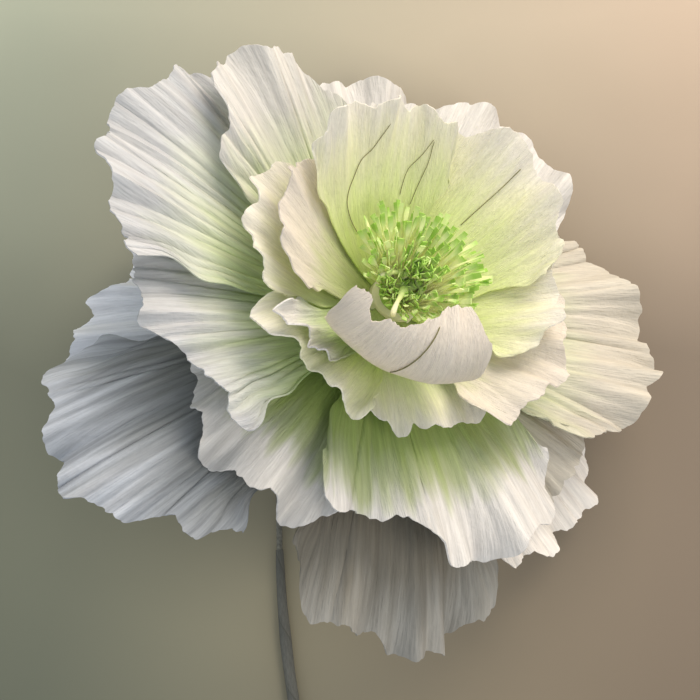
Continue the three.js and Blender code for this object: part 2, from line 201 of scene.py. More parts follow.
def head_matrix():
    """Flower frame to row frame, found from the flat underside of the core."""
    lean = math.radians(HEAD_LEAN)
    tilt_axis = Vector((-math.sin(lean), math.cos(lean), 0))
    rotation = Matrix.Rotation(math.radians(HEAD_TILT), 3, tilt_axis)
    axis = rotation @ Vector((0, 0, 1))
    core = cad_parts["core"].data
    depths = [vertex.co.dot(axis) for vertex in core.vertices]
    lowest = min(depths)
    flat = {vertex.co.copy().freeze() for vertex, depth in zip(core.vertices, depths)
            if depth < lowest + 0.1 * MM}
    underside = sum(flat, Vector()) / len(flat)
    core_depth = (len(PETALS) - 1) * PETAL_STEP + CORE_LIP
    origin = underside + axis * core_depth * MM
    return Matrix.Translation(origin) @ rotation.to_4x4() @ Matrix.Scale(MM, 4)


HEAD = head_matrix()
# Where the flower's own drawing has its origin on the table: the head stands at HEAD_X, HEAD_Y from it
DRAWING_ORIGIN = HEAD.translation - Vector((HEAD_X, HEAD_Y, HEAD.translation.z / MM)) * MM


def linear(code):
    """An sRGB hex colour as linear red, green, blue and alpha."""
    parts = [int(code[i:i + 2], 16) / 255 for i in (1, 3, 5)]
    return tuple(p / 12.92 if p <= 0.04045 else ((p + 0.055) / 1.055) ** 2.4 for p in parts) + (1.0,)


class PeonyPaper(PropertyGroup):
    thickness: FloatProperty(name="Paper thickness", description="Thickness of the crepe paper",
                             default=0.4 * MM, min=0.1 * MM, max=1 * MM, subtype="DISTANCE", unit="LENGTH")
    columns: IntProperty(name="Columns", description="Mesh columns across a petal",
                         default=168, min=16, max=300)
    rows: IntProperty(name="Rows", description="Mesh rows along a petal", default=36, min=6, max=90)


class PeonyStage(PropertyGroup):
    camera_height: FloatProperty(name="Camera height", description="Height of the camera over the table",
                                 default=0.72, min=0.3, max=3, subtype="DISTANCE", unit="LENGTH")
    lens: FloatProperty(name="Lens", description="Focal length of the camera, in millimetres",
                        default=144.5, min=20, max=300)
    key: FloatProperty(name="Key light", description="Power of the soft key light",
                       default=16.0, min=0, max=100)
    key_colour: FloatVectorProperty(name="Key colour", description="Colour of the key light",
                                    default=linear("#fff1e0")[:3], min=0, max=1, size=3, subtype="COLOR")
    fill_colour: FloatVectorProperty(name="Fill colour", description="Colour of the fill light",
                                     default=linear("#fff2e2")[:3], min=0, max=1, size=3, subtype="COLOR")
    sky_colour: FloatVectorProperty(name="Sky colour", description="Colour of the light from all round",
                                    default=linear("#e6ecf4"), min=0, max=1, size=4, subtype="COLOR")


def node(tree, kind, inputs=None, stops=(), **settings):
    """Adds a node and sets its properties, its sockets and a ramp's stops of (place, hex colour).

    A socket given as another socket is linked.
    """
    made = tree.nodes.new(kind)
    for key, value in settings.items():
        setattr(made, key, value)
    for key, value in (inputs or {}).items():
        socket = made.inputs[key]
        if isinstance(value, bpy.types.NodeSocket):
            tree.links.new(value, socket)
        else:
            socket.default_value = value
    for place, (spot, code) in enumerate(stops):
        elements = made.color_ramp.elements
        element = elements[place] if place < 2 else elements.new(spot)
        element.position = spot
        element.color = linear(code)
    return made


def new_material(name):
    material = bpy.data.materials.new(name)
    material.use_nodes = True
    tree = material.node_tree
    tree.nodes.clear()
    return material, tree


MADE = {}


def once(maker):
    """Makes a material the first time it is asked for, and then gives the same one."""
    def give():
        if maker.__name__ not in MADE:
            MADE[maker.__name__] = maker()
        return MADE[maker.__name__]
    return give


def paper_noise(tree, uv, across, along, detail):
    """Noise on a piece's own paper, with the number of its cells across and along one unit of its UV map."""
    cells = node(tree, "ShaderNodeMapping", {"Vector": uv, "Scale": (across, along, 1.0)}).outputs["Vector"]
    return node(tree, "ShaderNodeTexNoise", {"Vector": cells, "Detail": detail, "Scale": 1.0}).outputs["Fac"]


# Crepe paper is a matt tissue with fine wrinkles across its stretch, which show as grain lines from foot to
# rim. It is thin enough that light from behind glows through it, and its dye fades unevenly towards the rim.
def crepe_paper(name, stops, see_through, streaks=0.1):
    material, tree = new_material(name)
    uv = node(tree, "ShaderNodeUVMap", uv_map="paper").outputs["UV"]
    along = node(tree, "ShaderNodeSeparateXYZ", {"Vector": uv}).outputs["Y"]
    grain = paper_noise(tree, uv, 170.0, 11.0, 3.0)
    crinkle = paper_noise(tree, uv, 70.0, 34.0, 2.0)
    stain = paper_noise(tree, uv, 14.0, 2.2, 2.0)
    streak = paper_noise(tree, uv, 46.0, 1.6, 3.0)
    wander = node(tree, "ShaderNodeMath", {0: stain, 1: 0.36, 2: -0.18}, operation="MULTIPLY_ADD").outputs[0]
    place = node(tree, "ShaderNodeMath", {0: along, 1: wander}, operation="ADD").outputs[0]
    colour = node(tree, "ShaderNodeValToRGB", {"Fac": place}, stops).outputs["Color"]
    for noise, low, high in ((grain, 0.9, 1.03), (streak, 1 - 2 * streaks, 1 + 0.5 * streaks)):
        shade = node(tree, "ShaderNodeMapRange", {"Value": noise, "From Min": NOISE_LOW,
                                                  "From Max": NOISE_HIGH, "To Min": low,
                                                  "To Max": high}).outputs["Result"]
        colour = node(tree, "ShaderNodeVectorMath", {0: colour, 1: shade}, operation="MULTIPLY").outputs[0]
    fine = node(tree, "ShaderNodeBump", {"Height": grain, "Strength": 0.75,
                                         "Distance": 0.4 * MM}).outputs["Normal"]
    bump = node(tree, "ShaderNodeBump", {"Height": crinkle, "Strength": 0.4, "Distance": 0.5 * MM,
                                         "Normal": fine}).outputs["Normal"]
    front = node(tree, "ShaderNodeBsdfPrincipled", {"Base Color": colour, "Normal": bump,
                                                    "Roughness": PAPER_ROUGHNESS,
                                                    "Specular IOR Level": PAPER_SHINE}).outputs[0]
    through = node(tree, "ShaderNodeBsdfTranslucent", {"Color": colour, "Normal": bump}).outputs[0]
    mixed = node(tree, "ShaderNodeMixShader", {"Fac": see_through, 1: front, 2: through}).outputs[0]
    node(tree, "ShaderNodeOutputMaterial", {"Surface": mixed})
    return material


# Cup and inner petals: a lime foot that fades to cream, so thin that the cup glows
@once
def heart_paper():
    stops = [(0.0, "#e2f690"), (0.42, "#f1fabc"), (0.74, "#f8f8da"), (0.97, "#f8f5ec")]
    return crepe_paper("crepe_heart", stops, 0.45, streaks=0.05)


# Cup petals that show their outside, and one beside them: smoother, with some green near the foot, and a
# greyer white that is painted shade
@once
def flap_painted_shade_paper():
    stops = [(0.0, "#cfe08c"), (0.4, "#d8dcb0"), (0.62, "#f0e9da"), (0.95, "#efe8de")]
    return crepe_paper("crepe_flap", stops, 0.4, streaks=0.04)


# Large petals at the top, and the offcut: white with a green foot
@once
def green_foot_paper():
    stops = [(0.0, "#c6e488"), (0.42, "#d8e8ac"), (0.64, "#e8ecd8"), (0.84, "#eceae6")]
    return crepe_paper("crepe_green_foot", stops, 0.4)


# Large petals at the left: the white is greyer and cooler, which is painted shade and painted cool light
@once
def grey_painted_shade_paper():
    stops = [(0.0, "#c6e488"), (0.42, "#dceab4"), (0.64, "#e4e8da"), (0.84, "#dcddde")]
    return crepe_paper("crepe_soft_grey", stops, 0.4)


# Large petals at the right: cream instead of white, which is painted warm light
@once
def cream_painted_light_paper():
    stops = [(0.0, "#c6e488"), (0.42, "#d8e8ac"), (0.64, "#dedfc4"), (0.84, "#dfd9cb")]
    return crepe_paper("crepe_cream", stops, 0.35)


# Front petals: the green reaches further and is duller, partly green dye and partly painted shade from the
# cup above them
@once
def green_painted_shade_paper():
    stops = [(0.0, "#8fb446"), (0.5, "#a6b870"), (0.68, "#c0c8a0"), (0.8, "#e8e6e2")]
    return crepe_paper("crepe_deep_green", stops, 0.3)


# The large back petal at the left: undyed paper, whose cool, dark grey is painted shade
@once
def dark_painted_shade_paper():
    stops = [(0.0, "#83876f"), (0.35, "#85877f"), (0.62, "#8f9290"), (0.92, "#ccd1d7")]
    return crepe_paper("crepe_plain", stops, 0.22, streaks=0.2)


# The lowest petal: warm grey, darkest towards its foot, which is painted shade
@once
def warm_painted_shade_paper():
    stops = [(0.0, "#6c6758"), (0.5, "#7c7668"), (0.75, "#8e897c"), (0.97, "#b4b1a8")]
    return crepe_paper("crepe_shaded", stops, 0.25, streaks=0.12)


# The small back petal at the lower right: thin, with a warm white that is painted warm light
@once
def warm_white_painted_light_paper():
    stops = [(0.0, "#e4e4b4"), (0.4, "#f2eede"), (0.7, "#faf3e8"), (0.95, "#fbf6ee")]
    return crepe_paper("crepe_warm_white", stops, 0.2)


# The other back petals: undyed, bright and cool
@once
def cool_white_paper():
    stops = [(0.0, "#d8dcd0"), (0.5, "#eceff2"), (0.9, "#f6f8fc")]
    return crepe_paper("crepe_cool_white", stops, 0.12)


PAPERS = {
    "heart": heart_paper,
    "flap_painted_shade": flap_painted_shade_paper,
    "green_foot": green_foot_paper,
    "grey_painted_shade": grey_painted_shade_paper,
    "cream_painted_light": cream_painted_light_paper,
    "green_painted_shade": green_painted_shade_paper,
    "dark_painted_shade": dark_painted_shade_paper,
    "warm_painted_shade": warm_painted_shade_paper,
    "warm_white_painted_light": warm_white_painted_light_paper,
    "cool_white": cool_white_paper,
}


def matt_surface(tree, colour, height, distance, roughness=PAPER_ROUGHNESS, see_through=0.0):
    """The last nodes of a matt material: a bump from height, and light through it for paper."""
    bump = node(tree, "ShaderNodeBump", {"Height": height, "Strength": 0.6,
                                         "Distance": distance}).outputs["Normal"]
    surface = node(tree, "ShaderNodeBsdfPrincipled", {"Base Color": colour, "Normal": bump,
                                                      "Roughness": roughness,
                                                      "Specular IOR Level": PAPER_SHINE}).outputs[0]
    if see_through:
        through = node(tree, "ShaderNodeBsdfTranslucent", {"Color": colour, "Normal": bump}).outputs[0]
        surface = node(tree, "ShaderNodeMixShader", {"Fac": see_through, 1: surface, 2: through}).outputs[0]
    node(tree, "ShaderNodeOutputMaterial", {"Surface": surface})


# Stamens of dyed paper: nearly white at the foot and green at their flat tips, each one a little different
@once
def fringe_paper():
    material, tree = new_material("fringe_green")
    uv = node(tree, "ShaderNodeUVMap", uv_map="paper").outputs["UV"]
    along = node(tree, "ShaderNodeSeparateXYZ", {"Vector": uv}).outputs["Y"]
    each = paper_noise(tree, uv, 5.0, 1.4, 1.0)
    shifted = node(tree, "ShaderNodeMath", {0: each, 1: 0.7, 2: -0.35}, operation="MULTIPLY_ADD").outputs[0]
    place = node(tree, "ShaderNodeMath", {0: along, 1: shifted}, operation="ADD").outputs[0]
    stops = [(0.0, "#fcfde0"), (0.5, "#fcfed8"), (0.8, "#f6fbc8"), (1.0, "#b4d86c")]
    colour = node(tree, "ShaderNodeValToRGB", {"Fac": place}, stops).outputs["Color"]
    matt_surface(tree, colour, paper_noise(tree, uv, 60.0, 30.0, 2.0), 0.1 * MM, see_through=0.4)
    return material


# Pale green twisted paper: the core, and the pods whose curled tips fade to cream
@once
def pod_paper():
    material, tree = new_material("pod_green")
    uv = node(tree, "ShaderNodeUVMap", uv_map="paper").outputs["UV"]
    along = node(tree, "ShaderNodeSeparateXYZ", {"Vector": uv}).outputs["Y"]
    place = node(tree, "ShaderNodeMath", {0: along, 1: 0.25}, operation="MULTIPLY").outputs[0]
    stops = [(0.0, "#c8e47a"), (0.45, "#cce48a"), (0.75, "#e2eaa8"), (0.95, "#f6f4d0")]
    colour = node(tree, "ShaderNodeValToRGB", {"Fac": place}, stops).outputs["Color"]
    matt_surface(tree, colour, paper_noise(tree, uv, 14.4, 6.4, 3.0), 0.25 * MM, see_through=0.3)
    return material


# A strip of grey-green paper wound round the stem, darker where its turns overlap
@once
def stem_strip():
    material, tree = new_material("wound_paper")
    uv = node(tree, "ShaderNodeUVMap", uv_map="paper").outputs["UV"]
    parts = node(tree, "ShaderNodeSeparateXYZ", {"Vector": uv}).outputs
    turns = node(tree, "ShaderNodeMath", {0: parts["X"], 1: parts["Y"]}, operation="ADD").outputs[0]
    wound = node(tree, "ShaderNodeMath", {0: turns}, operation="FRACT").outputs[0]
    stops = [(0.0, "#58574e"), (0.06, "#64645d"), (0.7, "#6c6b63"), (1.0, "#68675f")]
    colour = node(tree, "ShaderNodeValToRGB", {"Fac": wound}, stops).outputs["Color"]
    grain = paper_noise(tree, uv, 26.0, 9.0, 3.0)
    shade = node(tree, "ShaderNodeMapRange", {"Value": grain, "From Min": NOISE_LOW,
                                              "From Max": NOISE_HIGH, "To Min": 0.82,
                                              "To Max": 1.12}).outputs["Result"]
    tinted = node(tree, "ShaderNodeVectorMath", {0: colour, 1: shade}, operation="MULTIPLY").outputs[0]
    matt_surface(tree, tinted, grain, 0.2 * MM)
    return material


# The bare length of wire has one thin layer of grey-green tape, a little shiny where it is stretched
@once
def wire_tape():
    material, tree = new_material("wire_tape")
    uv = node(tree, "ShaderNodeUVMap", uv_map="paper").outputs["UV"]
    grain = paper_noise(tree, uv, 8.0, 6.0, 3.0)
    stops = [(0.3, "#5f5e55"), (0.5, "#77756a"), (0.75, "#8b897c")]
    colour = node(tree, "ShaderNodeValToRGB", {"Fac": grain}, stops).outputs["Color"]
    matt_surface(tree, colour, grain, 0.15 * MM, roughness=0.6)
    return material


# Fine brown sewing thread with two twisted plies
@once
def thread_material():
    material, tree = new_material("brown_thread")
    uv = node(tree, "ShaderNodeUVMap", uv_map="paper").outputs["UV"]
    parts = node(tree, "ShaderNodeSeparateXYZ", {"Vector": uv}).outputs
    along = node(tree, "ShaderNodeMath", {0: parts["Y"], 1: 9.0}, operation="MULTIPLY").outputs[0]
    plies = node(tree, "ShaderNodeMath", {0: parts["X"], 1: along}, operation="ADD").outputs[0]
    wound = node(tree, "ShaderNodeMath", {0: plies}, operation="FRACT").outputs[0]
    stops = [(0.0, "#5d5a38"), (0.5, "#7c784e"), (1.0, "#66623c")]
    colour = node(tree, "ShaderNodeValToRGB", {"Fac": wound}, stops).outputs["Color"]
    matt_surface(tree, colour, wound, 0.05 * MM, roughness=0.7)
    return material


# Matt painted table. Its colour fades from pale warm grey at the far side to olive grey at the near side, and
# from cool to warm across it, which is painted light and shade. A paler patch round the stem is painted light
# over the flower's shadow. The scales are for places in metres.
@once
def table_top():
    material, tree = new_material("table_top")
    place = node(tree, "ShaderNodeTexCoord").outputs["Object"]
    slow = node(tree, "ShaderNodeTexNoise", {"Vector": place, "Scale": 14.0, "Detail": 2.0}).outputs["Fac"]
    parts = node(tree, "ShaderNodeSeparateXYZ", {"Vector": place}).outputs
    far = node(tree, "ShaderNodeMath", {0: parts["Y"], 1: 5.9, 2: 0.25}, operation="MULTIPLY_ADD").outputs[0]
    mixed = node(tree, "ShaderNodeMath", {0: slow, 1: 0.25, 2: far}, operation="MULTIPLY_ADD").outputs[0]
    side = node(tree, "ShaderNodeMath", {0: parts["X"], 1: 5.9, 2: 0.5}, operation="MULTIPLY_ADD").outputs[0]
    # Painted light and shade: darker towards the near side, and cool to warm across the table
    painted_falloff_stops = [(0.0, "#726e63"), (0.5, "#7e796e"), (1.0, "#bcb4a4")]
    painted_falloff = node(tree, "ShaderNodeValToRGB", {"Fac": mixed}, painted_falloff_stops).outputs["Color"]
    painted_tint_stops = [(0.0, "#dcece6"), (1.0, "#fff0e8")]
    tint = node(tree, "ShaderNodeValToRGB", {"Fac": side}, painted_tint_stops).outputs["Color"]
    centred = node(tree, "ShaderNodeMapping", {"Vector": place, "Location": (0.19, 0.28, 0.0),
                                               "Scale": (7.5, 7.5, 7.5)}).outputs["Vector"]
    # Painted light: a paler patch round the stem, laid over the flower's shadow
    painted_light_patch = node(tree, "ShaderNodeTexGradient", {"Vector": centred}, gradient_type="QUADRATIC_SPHERE")
    with_painted_light_patch = node(tree, "ShaderNodeVectorMath", {0: painted_light_patch.outputs["Color"], 1: linear("#938770")[:3],
                                                 2: painted_falloff}, operation="MULTIPLY_ADD").outputs[0]
    colour = node(tree, "ShaderNodeVectorMath", {0: with_painted_light_patch, 1: tint}, operation="MULTIPLY").outputs[0]
    matt_surface(tree, colour, slow, 0.05 * MM, roughness=0.9)
    return material


def deselect():
    bpy.ops.object.select_all(action="DESELECT")


def apply_modifier(piece, kind, name, **settings):
    modifier = piece.modifiers.new(name, kind)
    for key, value in settings.items():
        setattr(modifier, key, value)
    bpy.context.view_layer.objects.active = piece
    bpy.ops.object.modifier_apply(modifier=name)


def rib_share(u, petal, order):
    """Length of the rib at u as a share of the petal's length."""
    share = 1 - petal.shoulder * np.abs(u) ** 3.5 + petal.skew * u
    share = share + 0.035 * np.cos(math.pi * 2.6 * u + order) + 0.022 * np.cos(math.pi * 5.3 * u + 2 * order)
    for place, amount, width in petal.lobes:
        share = share + amount * np.exp(-((u - place) / width) ** 2)
    return share


def rise(t, u, petal, order):
    """Rise of the paper in radians, at share t of the petal's length along the rib at u."""
    start = FIRST_RISE - RISE_STEP * order
    bend = start * (1 - t) ** 2 + 2 * petal.middle * t * (1 - t) + petal.tip * t ** 2
    ruffle = petal.ruffle * t ** 2 * np.sin(math.pi * 3 * u + 1.7 * order)
    uneven = 1.5 * np.sin(5 * u + order)
    frill = 0.9 * petal.ruffle * t ** 5 * np.sin(math.pi * 7.3 * u + 2.3 * order + uneven)
    return np.radians(bend + ruffle + frill)


def wandering(x, seed):
    """A smooth random line along x, between about -1 and 1, from a few sine waves."""
    waves = random.Random(seed)
    total = np.zeros_like(x)
    for harmonic in (1.0, 1.9, 3.1, 4.7):
        total = total + np.sin(harmonic * x + waves.uniform(0, 2 * math.pi)) / harmonic ** 0.6
    return total / 2.2


def pleat_phase(u, v, petal, seed):
    """How many pleats lie between the petal's middle and u, with a drift that makes them uneven."""
    warp = 0.7 * wandering(u * 3.0 + 0.5 * v, seed + 2) + 0.25 * wandering(u * 11.0, seed + 4)
    return petal.pleats / 2 * u + warp


def pleat_height(u, v, petal, seed):
    """Height of the rounded pleats, from about -1 in a sharp valley to 1 on a crest."""
    phase = pleat_phase(u, v, petal, seed)
    crests = np.abs(np.sin(math.pi * phase))
    small = np.abs(np.sin(math.pi * (2.3 * phase + 0.3)))
    swell = 0.55 + 0.45 * wandering(u * petal.pleats * 0.55, seed + 3)
    broad = 0.8 * v * wandering(u * petal.pleats * 0.3, seed + 8)
    return swell * (1.5 * (crests - 0.62) + 0.5 * (small - 0.62) * v) + broad


def finger_length(u, petal, seed):
    """How far the rim sticks out at u, in rounded fingers one or two pleats wide."""
    phase = pleat_phase(u, np.ones_like(u), petal, seed)
    broad = np.abs(np.sin(math.pi * (0.5 * phase + 0.2))) ** 0.6
    narrow = np.abs(np.sin(math.pi * phase)) ** 0.6
    swell = 0.6 + 0.4 * wandering(u * 9.0, seed + 6)
    return swell * (0.9 * (broad - 0.75) + 0.5 * (narrow - 0.75))


def petal_surface(u, v, petal, order):
    """Middle of the paper at u across and v along, in the flower frame in millimetres, with the share t."""
    steps = 20
    seed = 100 + order
    rim = 0.003 * wandering(u * 60, seed) + 0.010 * wandering(u * 22, seed + 1)
    rim = rim + petal.fingers * finger_length(u, petal, seed)
    reach = v * (rib_share(u, petal, order) + rim * v ** 3)
    radius = np.full_like(u, CORE_RADIUS + SEAT_GAP)
    height = np.full_like(u, -PETAL_STEP * order)
    for k in range(steps):
        slope = rise((k + 0.5) / steps * reach, u, petal, order)
        radius = radius + np.cos(slope) * reach * petal.length / steps
        height = height + np.sin(slope) * reach * petal.length / steps
    slope = rise(reach, u, petal, order)
    push = petal.fold * v ** 1.25 * (1 - 0.4 * v ** 4) * pleat_height(u, v, petal, seed)
    side = np.sign(u) * np.abs(u) ** 5 * 4.0 * v * wandering(v * 6.0, seed + 5)
    azimuth = np.radians(petal.azimuth + petal.half * u + side)
    radius = radius - np.sin(slope) * push
    height = height + np.cos(slope) * push
    return np.stack([radius * np.cos(azimuth), radius * np.sin(azimuth), height], -1), reach


def make_petal(petal, settings):
    """A pleated sheet of crepe, which replaces the frame's node of the same name where there is one."""
    order = ORDER[petal.name]
    deselect()
    bpy.ops.mesh.primitive_grid_add(x_subdivisions=settings.columns, y_subdivisions=settings.rows, size=2)
    piece = bpy.context.object
    piece.name = "paper_" + petal.name
    mesh = piece.data
    mesh.name = piece.name
    count = len(mesh.vertices)
    flat = np.zeros(count * 3)
    mesh.vertices.foreach_get("co", flat)
    flat = flat.reshape(-1, 3)
    u = np.clip(flat[:, 0], -1, 1)
    v = np.clip((flat[:, 1] + 1) / 2, 0, 1)
    points, reach = petal_surface(u, v, petal, order)
    matrix = np.array(HEAD)
    placed = points @ matrix[:3, :3].T + matrix[:3, 3]
    mesh.vertices.foreach_set("co", placed.ravel())
    layer = mesh.uv_layers[0]
    layer.name = "paper"
    corners = np.zeros(len(mesh.loops), dtype=int)
    mesh.loops.foreach_get("vertex_index", corners)
    across = (u * math.radians(petal.half) * (0.5 + 0.5 * v) + 3.1 * order)[corners]
    along = reach[corners]
    layer.data.foreach_set("uv", np.stack([across, along], -1).ravel())
    mesh.update()
    apply_modifier(piece, "SOLIDIFY", "paper", thickness=settings.thickness, offset=0.0,
                   use_quality_normals=True)
    bpy.ops.object.shade_smooth_by_angle(angle=math.radians(SMOOTH_ANGLE))
    finish_piece(piece, petal.name if petal in PETALS else None, PAPERS[petal.paper]())


def whorl(prefix):
    """Makes each petal whose name starts with prefix."""
    settings = bpy.context.scene.peony_paper
    for petal in PETALS:
        if petal.name.startswith(prefix):
            make_petal(petal, settings)


def finish_piece(piece, node_name, material):
    """Gives a piece its material and body, and says which node it replaces, if any."""
    piece.data.materials.clear()
    piece.data.materials.append(material)
    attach(piece, "root")
    if node_name:
        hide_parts(node_name)


def smooth_line(corners, count):
    """A smooth curve through the corners, as count points."""
    corners = np.array(corners, dtype=float)
    padded = np.vstack([2 * corners[0] - corners[1], corners, 2 * corners[-1] - corners[-2]])
    spots = np.linspace(0, len(corners) - 1.000001, count)
    first = spots.astype(int)
    t = (spots - first)[:, None]
    a, b, c, d = (padded[first + k] for k in range(4))
    square = (2 * a - 5 * b + 4 * c - d) * t ** 2
    cube = (3 * b - a - 3 * c + d) * t ** 3
    return 0.5 * (2 * b + (c - a) * t + square + cube)


def carried_sides(path):
    """Two directions square to the path at each of its points, carried along it without twisting."""
    along = np.gradient(path, axis=0)
    along /= np.linalg.norm(along, axis=1)[:, None]
    side = np.cross(along[0], (0.31, 0.17, 0.94) if abs(along[0][2]) < 0.9 else (1.0, 0.2, 0.1))
    sides = []
    for direction in along:
        side = side - direction * side.dot(direction)
        side = side / np.linalg.norm(side)
        sides.append(side)
    sides = np.array(sides)
    return sides, np.cross(along, sides)


def make_tube(name, path, radii, around, rows, matrix, ridge=0.0, pitch=3.0):
    """A closed round body along a path in millimetres, with an optional wound ridge.

    radii are its radii at even steps along it, and start and end with 0 so that its ends close.
    """
    deselect()
    bpy.ops.mesh.primitive_grid_add(x_subdivisions=around, y_subdivisions=rows, size=2)
    piece = bpy.context.object
    piece.name = name
    mesh = piece.data
    mesh.name = name
    flat = np.zeros(len(mesh.vertices) * 3)
    mesh.vertices.foreach_get("co", flat)
    flat = flat.reshape(-1, 3)
    angle = (flat[:, 0] + 1) * math.pi
    share = np.clip((flat[:, 1] + 1) / 2, 0, 1)
    spots = np.linspace(0, 1, len(path))
    lengths = np.concatenate([[0], np.cumsum(np.linalg.norm(np.diff(path, axis=0), axis=1))])
    one, two = carried_sides(path)

    def at(values):
        return np.stack([np.interp(share, spots, values[:, k]) for k in range(3)], -1)

    length = np.interp(share, spots, lengths)
    radius = np.interp(share, np.linspace(0, 1, len(radii)), radii)
    wound = (length / pitch + angle / (2 * math.pi)) % 1.0
    radius = radius + ridge * np.minimum(wound * 1.2, (1 - wound) * 6) * (radius > 0.05)
    place = at(path) + radius[:, None] * (np.cos(angle)[:, None] * at(one) + np.sin(angle)[:, None] * at(two))
    matrix = np.array(matrix)
    mesh.vertices.foreach_set("co", (place @ matrix[:3, :3].T + matrix[:3, 3]).ravel())
    layer = mesh.uv_layers[0]
    layer.name = "paper"
    corners = np.zeros(len(mesh.loops), dtype=int)
    mesh.loops.foreach_get("vertex_index", corners)
    layer.data.foreach_set("uv", np.stack([angle / (2 * math.pi), length / pitch], -1)[corners].ravel())
    mesh.update()
    bpy.ops.object.mode_set(mode="EDIT")
    bpy.ops.mesh.select_all(action="SELECT")
    bpy.ops.mesh.remove_doubles(threshold=WELD * MM)
    bpy.ops.mesh.normals_make_consistent(inside=False)
    bpy.ops.object.mode_set(mode="OBJECT")
    bpy.ops.object.shade_smooth_by_angle(angle=math.radians(SMOOTH_ANGLE))
    return piece


def round_ends(radii, count=60):
    """The radii at count places, with both ends closed to a point."""
    spots = np.linspace(0, 1, count)
    full = np.interp(spots, np.linspace(0, 1, len(radii)), radii)
    full[0] = full[-1] = 0
    return full


def filament_form():
    """The places and faces of one filament along +Y, a thin strip that widens to a flat tip."""
    deselect()
    bpy.ops.mesh.primitive_grid_add(x_subdivisions=1, y_subdivisions=8, size=2)
    piece = bpy.context.object
    mesh = piece.data
    for vertex in mesh.vertices:
        along = (vertex.co.y + 1) / 2
        width = float(np.interp(along, (0, 0.6, 0.74, 0.87, 0.96, 1), (0.28, 0.2, 0.28, 0.56, 0.66, 0.56)))
        crease = 0.16 * math.sin(9 * along)
        vertex.co = (math.copysign(width, vertex.co.x), along, crease * math.copysign(1, vertex.co.x))
    bpy.ops.object.mode_set(mode="EDIT")
    bpy.ops.mesh.select_all(action="SELECT")
    bpy.ops.mesh.extrude_region_move(TRANSFORM_OT_translate={"value": (0, 0, 0.24)})
    bpy.ops.mesh.select_all(action="SELECT")
    bpy.ops.mesh.normals_make_consistent(inside=False)
    bpy.ops.object.mode_set(mode="OBJECT")
    places = np.array([vertex.co[:] for vertex in mesh.vertices])
    faces = [list(face.vertices) for face in mesh.polygons]
    bpy.data.objects.remove(piece)
    bpy.data.meshes.remove(mesh)
    return places, faces


def ring_band(inside, low, high, count):
    """The places and faces of a closed band of paper rolled round the neck."""
    places = []
    faces = []
    for k in range(count):
        angle = 2 * math.pi * k / count
        outside = inside + PAPER + 0.05 * math.sin(9 * angle)
        for radius, height in ((inside, low), (outside, low), (outside, high), (inside, high)):
            places.append((radius * math.cos(angle), radius * math.sin(angle), height))
        first, second = 4 * k, 4 * ((k + 1) % count)
        for side in range(4):
            other = (side + 1) % 4
            faces.append([first + side, second + side, second + other, first + other])
    return np.array(places), faces


def make_fringe(node_name, inside, count, lengths, lifts, seed):
    """A rolled strip of paper cut into count filaments that spread out round the carpels.

    lengths are in millimetres and lifts in degrees, each from the least to the most.
    """
    random_part = random.Random(seed)
    form, form_faces = filament_form()
    low = CORE_LIP + SEAT_GAP
    high = low + FRINGE_BAND
    band, faces = ring_band(inside, low, high, 96)
    places = [band]
    marks = [np.stack([np.zeros(len(band)), np.ones(len(band))], -1)]
    start = len(band)
    steps = 10
    for k in range(count):
        azimuth = 2 * math.pi * (k + random_part.uniform(-0.3, 0.3)) / count
        front = max(0.0, math.cos(azimuth - math.radians(OPEN_SIDE)))
        length = random_part.uniform(*lengths) * (1 - SHORTER_IN_FRONT * front)
        lift = random_part.uniform(*lifts) + 6 * front
        bend = random_part.uniform(-34, 10)
        spread = random_part.uniform(-0.35, 0.35)
        spin = random_part.uniform(-1.3, 1.3)
        shares = np.linspace(0, 1, steps + 1)
        slopes = np.radians(lift + bend * (shares - 0.3))
        headings = azimuth + spread * shares
        steps_along = np.stack([np.cos(slopes) * np.cos(headings), np.cos(slopes) * np.sin(headings),
                                np.sin(slopes)], -1)
        middles = (steps_along[:-1] + steps_along[1:]) / 2
        line = np.vstack([[0, 0, 0], np.cumsum(middles, axis=0)]) * length / steps
        root = np.array([(inside + 0.2) * math.cos(azimuth), (inside + 0.2) * math.sin(azimuth), high - 0.8])
        line = line + root

        def at(values):
            return np.stack([np.interp(form[:, 1], shares, values[:, axis]) for axis in range(3)], -1)

        across = np.stack([-np.sin(headings), np.cos(headings), np.zeros_like(headings)], -1)
        thick = np.cross(across, steps_along)
        turns = (spin * shares)[:, None]
        wide = np.cos(turns) * across + np.sin(turns) * thick
        deep = np.cos(turns) * thick - np.sin(turns) * across
        size = random_part.uniform(0.8, 1.25)
        places.append(at(line) + size * form[:, :1] * at(wide) + form[:, 2:] * at(deep))
        marks.append(np.stack([np.full(len(form), k * 0.37), form[:, 1]], -1))
        faces += [[index + start for index in face] for face in form_faces]
        start += len(form)
    places = np.vstack(places)
    marks = np.vstack(marks)
    matrix = np.array(HEAD)
    mesh = bpy.data.meshes.new("paper_" + node_name)
    mesh.from_pydata(places @ matrix[:3, :3].T + matrix[:3, 3], [], faces)
    piece = bpy.data.objects.new("paper_" + node_name, mesh)
    bpy.context.collection.objects.link(piece)
    layer = mesh.uv_layers.new(name="paper")
    corners = np.zeros(len(mesh.loops), dtype=int)
    mesh.loops.foreach_get("vertex_index", corners)
    layer.data.foreach_set("uv", marks[corners].ravel())
    mesh.update()
    finish_piece(piece, node_name, fringe_paper())


